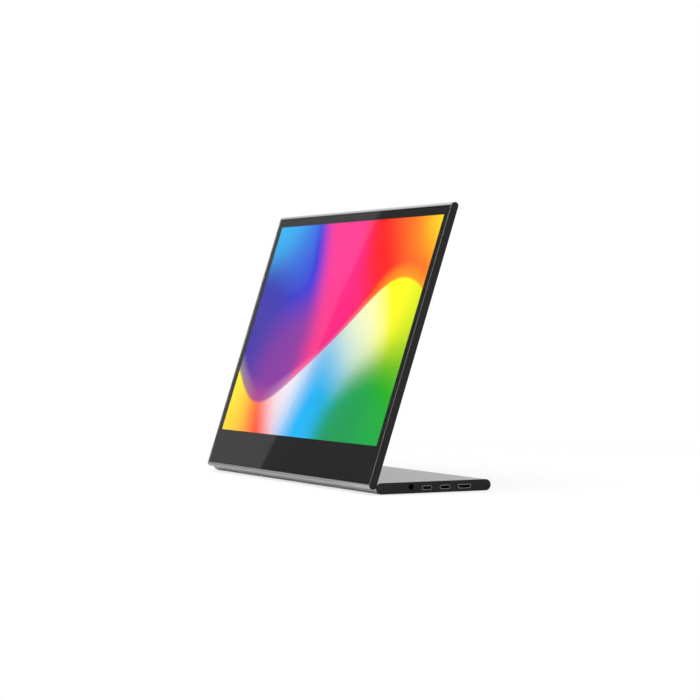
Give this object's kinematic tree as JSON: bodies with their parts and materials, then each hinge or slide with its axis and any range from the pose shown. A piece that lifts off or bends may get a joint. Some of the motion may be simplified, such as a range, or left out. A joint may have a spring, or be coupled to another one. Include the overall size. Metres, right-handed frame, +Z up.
{
  "type": "portable monitor",
  "caption": "Thin glass-fronted portable monitor hinged along the front edge of a shallow aluminium base with ports in its end.",
  "frame": {"origin": "bottom centre of the bounding box, on the surface the feet stand on, with the display open as in the picture", "axes": "+X along the base and the display, towards the ports; +Y back from the screen side; +Z up"},
  "size_m": [0.364, 0.1064, 0.2315],
  "materials": {
    "anodised_aluminium": "fine bead-blasted silver anodising, satin",
    "black_cap_plastic": "satin black, fine grain",
    "key_plastic": "satin, very dark grey",
    "foot_rubber": "matte black",
    "plated_steel": "nickel plated",
    "spring_steel": "blued, oiled",
    "board_laminate": "green solder resist on glass-fibre laminate",
    "component_plastic": "moulded black",
    "switch_housing": "moulded light grey",
    "light_pipe": "clear, lightly frosted",
    "cable_jacket": "black braided screen sleeve",
    "ribbon_film": "pale film over flat copper conductors",
    "flex_film": "amber film",
    "cover_glass": "glossy, uncoated",
    "black_ink": "black screen print behind the glass",
    "tape": "black foam tape",
    "display_cell": "polarised glass showing a picture of soft waves of colour",
    "diffuser_film": "white translucent film",
    "light_guide_acrylic": "clear acrylic with a printed dot pattern",
    "reflector_film": "white film",
    "pad_foam": "closed-cell foam",
    "led_strip": "white strip with phosphor lamps",
    "tray_aluminium": "thin folded sheet",
    "switch_plunger": "moulded off-white"
  },
  "bodies": {
    "base": {"base_shell": "anodised_aluminium", "base_bottom_cover": "anodised_aluminium", "base_cap_right": "black_cap_plastic", "base_cap_left": "black_cap_plastic", "rubber_feet": "foot_rubber", "cover_screws": "plated_steel", "base_chassis": "plated_steel", "main_board": "board_laminate", "board_chips": "component_plastic", "board_shield": "plated_steel", "board_screws": "plated_steel", "audio_jack": "component_plastic", "data_socket_front": "plated_steel", "data_socket_rear": "plated_steel", "video_socket": "plated_steel", "data_tongue_front": "component_plastic", "data_tongue_rear": "component_plastic", "video_tongue": "component_plastic", "key_board": "board_laminate", "key_switches": "switch_housing", "status_light": "light_pipe", "key_ribbon": "ribbon_film", "base_cable": "cable_jacket", "hinge_bracket_right": "plated_steel", "hinge_bracket_left": "plated_steel", "hinge_bracket_screws": "plated_steel"},
    "display": {"display_shell": "anodised_aluminium", "display_cap_right": "black_cap_plastic", "display_cap_left": "black_cap_plastic", "cover_glass": "cover_glass", "border_mask": "black_ink", "glass_tape": "tape", "lcd_cell": "display_cell", "backlight_films": "diffuser_film", "light_guide": "light_guide_acrylic", "reflector_sheet": "reflector_film", "panel_tray": "tray_aluminium", "panel_pads": "pad_foam", "led_strip": "led_strip", "timing_board": "board_laminate", "source_flexes": "flex_film", "display_cable": "cable_jacket", "hinge_block_right": "anodised_aluminium", "hinge_block_left": "anodised_aluminium", "hinge_pin_right": "plated_steel", "hinge_pin_left": "plated_steel", "hinge_discs_right": "spring_steel", "hinge_discs_left": "spring_steel", "hinge_nut_right": "plated_steel", "hinge_nut_left": "plated_steel", "hinge_leaf_screws": "plated_steel"},
    "power_key_body": {"power_key": "key_plastic", "power_plunger": "switch_plunger"},
    "menu_up_key_body": {"menu_up_key": "key_plastic", "menu_up_plunger": "switch_plunger"},
    "menu_down_key_body": {"menu_down_key": "key_plastic", "menu_down_plunger": "switch_plunger"}
  },
  "joints": [
    {"name": "display_tilt", "type": "hinge", "parent": "base", "child": "display", "pos_m": [0, -0.0428, 0.0051], "axis": [1, 0, 0], "range_deg": [-71.5, 11.5]},
    {"name": "power_key_press", "type": "slide", "parent": "base", "child": "power_key_body", "axis": [1, 0, 0], "range_m": [0, 0.0004], "stiffness_N_per_m": 2500, "springref_m": -0.0004},
    {"name": "menu_up_key_press", "type": "slide", "parent": "base", "child": "menu_up_key_body", "axis": [1, 0, 0], "range_m": [0, 0.0004], "stiffness_N_per_m": 2500, "springref_m": -0.0004},
    {"name": "menu_down_key_press", "type": "slide", "parent": "base", "child": "menu_down_key_body", "axis": [1, 0, 0], "range_m": [0, 0.0004], "stiffness_N_per_m": 2500, "springref_m": -0.0004}
  ]
}
